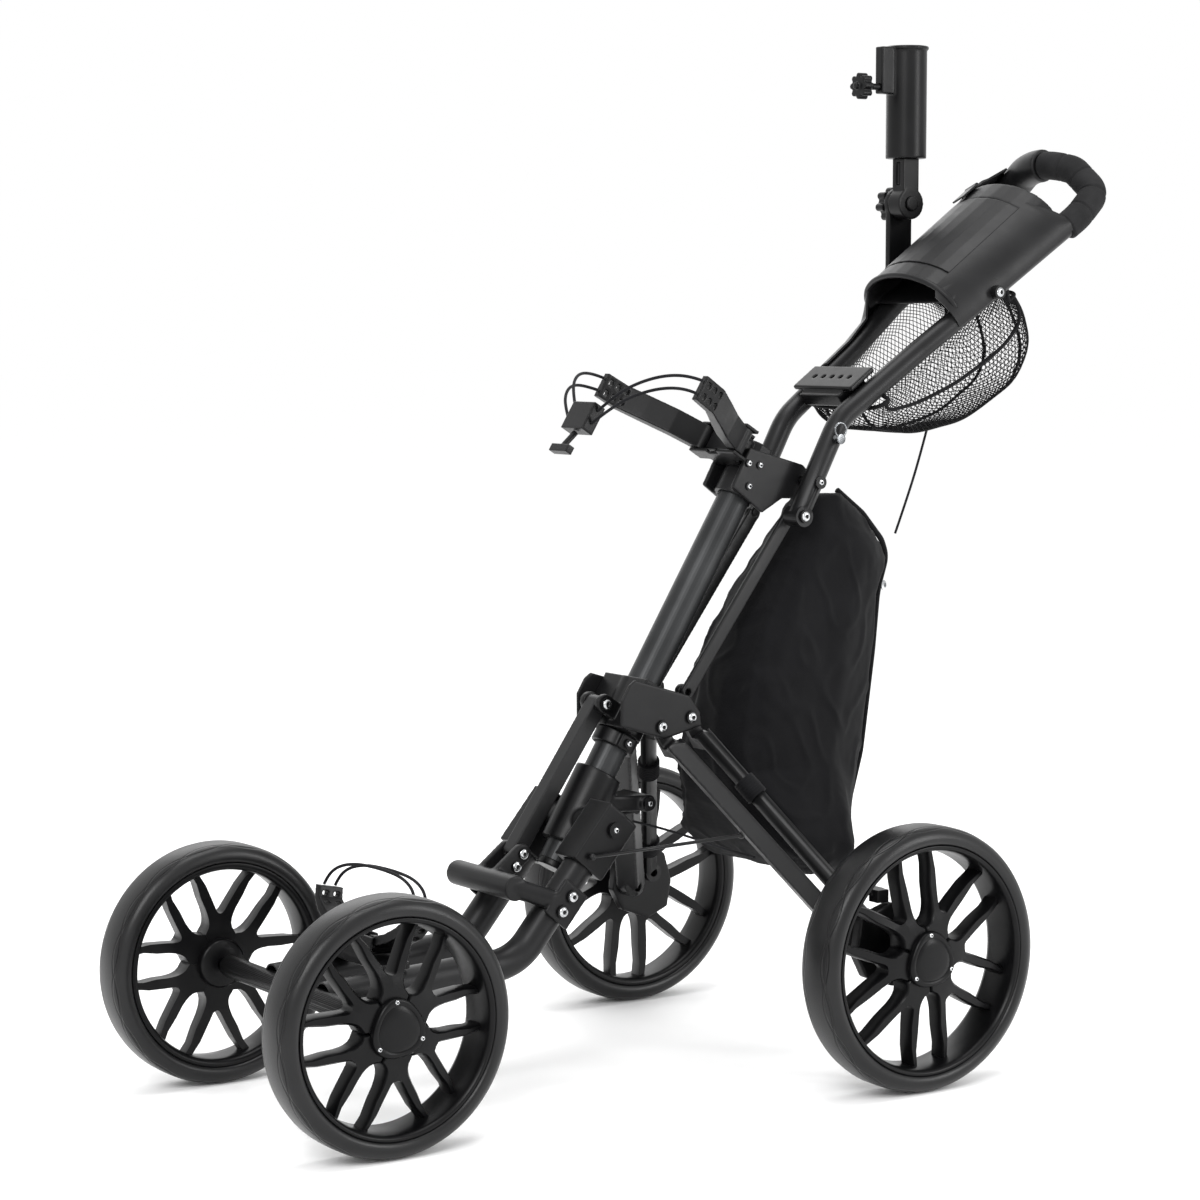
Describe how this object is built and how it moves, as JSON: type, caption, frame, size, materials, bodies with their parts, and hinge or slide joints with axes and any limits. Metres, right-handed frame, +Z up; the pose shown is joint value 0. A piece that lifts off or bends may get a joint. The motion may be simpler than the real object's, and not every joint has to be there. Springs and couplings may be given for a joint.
{
  "type": "golf push cart",
  "caption": "Folding four-wheel golf bag push cart with a leaning tube frame, bag cradles, storage console, net basket, umbrella holder and spoked wheels",
  "frame": {"origin": "bottom centre of the bounding box, on the ground", "axes": "+X is the cart's left, +Y its back (handle end), +Z up"},
  "size_m": [0.608, 1.1967, 1.166],
  "materials": {
    "tyre_rubber": "matte",
    "rim_plastic": "satin",
    "dark_metal": "satin powder coat",
    "black_plastic": "fine texture",
    "bright_steel": "bright",
    "foam_grip": "foam",
    "bag_fabric": "woven",
    "net_mesh": "open mesh",
    "cord_cover": "braided",
    "cable_sleeve": "smooth"
  },
  "bodies": {
    "frame": {"main_tube": "dark_metal", "tube_end_cap": "black_plastic", "yoke": "black_plastic", "stop_collar": "black_plastic", "upper_bracket": "black_plastic", "frame_bolts": "bright_steel", "upper_cradle_base": "black_plastic", "upper_bungee": "cord_cover", "bungee_buckle": "black_plastic", "bungee_hook": "black_plastic", "fabric_bag": "bag_fabric"},
    "handle": {"handle_tube": "dark_metal", "handle_grip": "foam_grip", "crosspiece": "black_plastic", "console_body": "black_plastic", "handle_bolts": "bright_steel", "mesh_net": "net_mesh", "umbrella_foot": "black_plastic", "suspension_cord": "cord_cover"},
    "push_rods": {"push_rods": "dark_metal"},
    "slider": {"slider_block": "black_plastic", "slider_plates": "dark_metal", "slider_bolts": "bright_steel"},
    "front_link": {"front_link": "dark_metal"},
    "fork": {"front_tube_left": "dark_metal", "front_tube_right": "dark_metal", "fork_sockets": "black_plastic", "lift_bar": "dark_metal", "fork_bolts": "bright_steel", "front_axle": "dark_metal", "lower_cradle_base": "black_plastic", "lower_bungee": "cord_cover"},
    "rear_legs": {"rear_leg_left": "dark_metal", "rear_leg_right": "dark_metal", "brake_cable": "cable_sleeve"},
    "rear_struts": {"rear_strut_left": "dark_metal", "rear_strut_right": "dark_metal"},
    "rear_bracket_left": {"rear_bracket_left": "black_plastic"},
    "rear_bracket_right": {"rear_bracket_right": "black_plastic"},
    "tension_rods": {"tension_rods": "dark_metal"},
    "front_wheel_left": {"front_wheel_left_tyre": "tyre_rubber", "front_wheel_left_rim": "rim_plastic"},
    "front_wheel_right": {"front_wheel_right_tyre": "tyre_rubber", "front_wheel_right_rim": "rim_plastic"},
    "rear_wheel_left": {"rear_wheel_left_tyre": "tyre_rubber", "rear_wheel_left_rim": "rim_plastic"},
    "rear_wheel_right": {"rear_wheel_right_tyre": "tyre_rubber", "rear_wheel_right_rim": "rim_plastic"},
    "console_lid": {"console_lid": "black_plastic"},
    "card_clip": {"card_clip": "black_plastic"},
    "umbrella": {"umbrella_post": "black_plastic", "umbrella_tube": "black_plastic"},
    "tilt_knob": {"tilt_knob": "black_plastic"},
    "clamp_knob": {"clamp_knob": "black_plastic"},
    "upper_arm_left": {"upper_arm_left": "black_plastic"},
    "upper_arm_right": {"upper_arm_right": "black_plastic"},
    "lower_arm_left": {"lower_arm_left": "black_plastic"},
    "lower_arm_right": {"lower_arm_right": "black_plastic"},
    "brake_pedal": {"brake_pedal": "black_plastic"},
    "ring_pin": {"ring_pin": "bright_steel"}
  },
  "joints": [
    {"name": "handle_fold", "type": "hinge", "parent": "frame", "child": "handle", "pos_m": [0, 0.1778, 0.65396], "axis": [-1, 0, 0], "range_deg": [0, 120], "deforming": ["suspension_cord", "fabric_bag"]},
    {"name": "slider_travel", "type": "slide", "parent": "frame", "child": "slider", "axis": [0, 0.525, 0.8511], "range_m": [0, 0.064]},
    {"name": "front_link_swing", "type": "hinge", "parent": "slider", "child": "front_link", "pos_m": [0, -0.08569, 0.41349], "axis": [1, 0, 0], "range_deg": [-10, 0]},
    {"name": "front_fork_fold", "type": "hinge", "parent": "frame", "child": "fork", "pos_m": [0, -0.1144, 0.28316], "axis": [1, 0, 0], "range_deg": [-52, 0]},
    {"name": "rear_leg_fold", "type": "hinge", "parent": "slider", "child": "rear_legs", "pos_m": [0, -0.02925, 0.3869], "axis": [1, 0, 0], "range_deg": [-19, 0]},
    {"name": "rear_strut_fold", "type": "hinge", "parent": "slider", "child": "rear_struts", "pos_m": [0, 0.01098, 0.39498], "axis": [1, 0, 0], "range_deg": [-20, 0]},
    {"name": "left_bracket_turn", "type": "hinge", "parent": "rear_legs", "child": "rear_bracket_left", "pos_m": [0, 0.1107, 0.1536], "axis": [1, 0, 0], "range_deg": [0, 26]},
    {"name": "right_bracket_turn", "type": "hinge", "parent": "rear_legs", "child": "rear_bracket_right", "pos_m": [0, 0.1107, 0.1536], "axis": [1, 0, 0], "range_deg": [0, 26]},
    {"name": "tension_rod_turn", "type": "hinge", "parent": "fork", "child": "tension_rods", "pos_m": [0, -0.1464, 0.25716], "axis": [1, 0, 0], "range_deg": [0, 53]},
    {"name": "push_rod_turn", "type": "hinge", "parent": "handle", "child": "push_rods", "pos_m": [0, 0.15666, 0.61589], "axis": [1, 0, 0], "range_deg": [0, 130]},
    {"name": "front_left_spin", "type": "hinge", "parent": "fork", "child": "front_wheel_left", "pos_m": [0.188, -0.4653, 0.133], "axis": [1, 0, 0], "continuous": true},
    {"name": "front_right_spin", "type": "hinge", "parent": "fork", "child": "front_wheel_right", "pos_m": [-0.188, -0.4653, 0.133], "axis": [1, 0, 0], "continuous": true},
    {"name": "rear_left_spin", "type": "hinge", "parent": "rear_bracket_left", "child": "rear_wheel_left", "pos_m": [0.2765, 0.1507, 0.146], "axis": [1, 0, 0], "continuous": true},
    {"name": "rear_right_spin", "type": "hinge", "parent": "rear_bracket_right", "child": "rear_wheel_right", "pos_m": [-0.2765, 0.1507, 0.146], "axis": [1, 0, 0], "continuous": true},
    {"name": "lid_hinge", "type": "hinge", "parent": "handle", "child": "console_lid", "pos_m": [-0.0625, 0.42064, 0.93126], "axis": [0, -0.8141, -0.5807], "range_deg": [0, 60]},
    {"name": "clip_hinge", "type": "hinge", "parent": "handle", "child": "card_clip", "pos_m": [-0.04, 0.48869, 0.99773], "axis": [-0.9455, 0.1891, -0.265], "range_deg": [0, 50]},
    {"name": "umbrella_tilt", "type": "hinge", "parent": "handle", "child": "umbrella", "pos_m": [-0.078, 0.4167, 0.978], "axis": [1, 0, 0], "range_deg": [-30, 30]},
    {"name": "tilt_knob_spin", "type": "hinge", "parent": "handle", "child": "tilt_knob", "pos_m": [-0.078, 0.4167, 0.978], "axis": [1, 0, 0], "continuous": true},
    {"name": "clamp_knob_spin", "type": "hinge", "parent": "umbrella", "child": "clamp_knob", "pos_m": [-0.078, 0.3427, 1.116], "axis": [0, 1, 0], "continuous": true},
    {"name": "upper_arm_left_swing", "type": "hinge", "parent": "frame", "child": "upper_arm_left", "pos_m": [0.035, 0.08561, 0.70261], "axis": [0, 0.525, 0.8511], "range_deg": [-15, 15], "deforming": ["upper_bungee"]},
    {"name": "upper_arm_right_swing", "type": "hinge", "parent": "frame", "child": "upper_arm_right", "pos_m": [-0.035, 0.08561, 0.70261], "axis": [0, 0.525, 0.8511], "range_deg": [-15, 15], "deforming": ["upper_bungee"]},
    {"name": "lower_arm_left_swing", "type": "hinge", "parent": "fork", "child": "lower_arm_left", "pos_m": [0.034, -0.3819, 0.17996], "axis": [0, -0.9798, 0.2], "range_deg": [-12, 12], "deforming": ["lower_bungee"]},
    {"name": "lower_arm_right_swing", "type": "hinge", "parent": "fork", "child": "lower_arm_right", "pos_m": [-0.034, -0.3819, 0.17996], "axis": [0, -0.9798, 0.2], "range_deg": [-12, 12], "deforming": ["lower_bungee"]},
    {"name": "brake_pedal_swing", "type": "hinge", "parent": "rear_bracket_left", "child": "brake_pedal", "pos_m": [0.23, 0.1327, 0.209], "axis": [1, 0, 0], "range_deg": [0, 10]},
    {"name": "ring_pin_pull", "type": "slide", "parent": "handle", "child": "ring_pin", "axis": [1, 0, 0], "range_m": [0, 0.01]}
  ],
  "couplings": [
    {"joint": "slider_travel", "follows": "handle_fold", "m_per_rad": 0.030355},
    {"joint": "front_link_swing", "follows": "handle_fold", "ratio": -0.076945},
    {"joint": "front_fork_fold", "follows": "handle_fold", "ratio": -0.43027},
    {"joint": "rear_leg_fold", "follows": "handle_fold", "ratio": -0.1546},
    {"joint": "rear_strut_fold", "follows": "handle_fold", "ratio": -0.16313},
    {"joint": "left_bracket_turn", "follows": "handle_fold", "ratio": 0.21071},
    {"joint": "right_bracket_turn", "follows": "handle_fold", "ratio": 0.21071},
    {"joint": "tension_rod_turn", "follows": "handle_fold", "ratio": 0.43951},
    {"joint": "push_rod_turn", "follows": "handle_fold", "ratio": 1.0806}
  ]
}
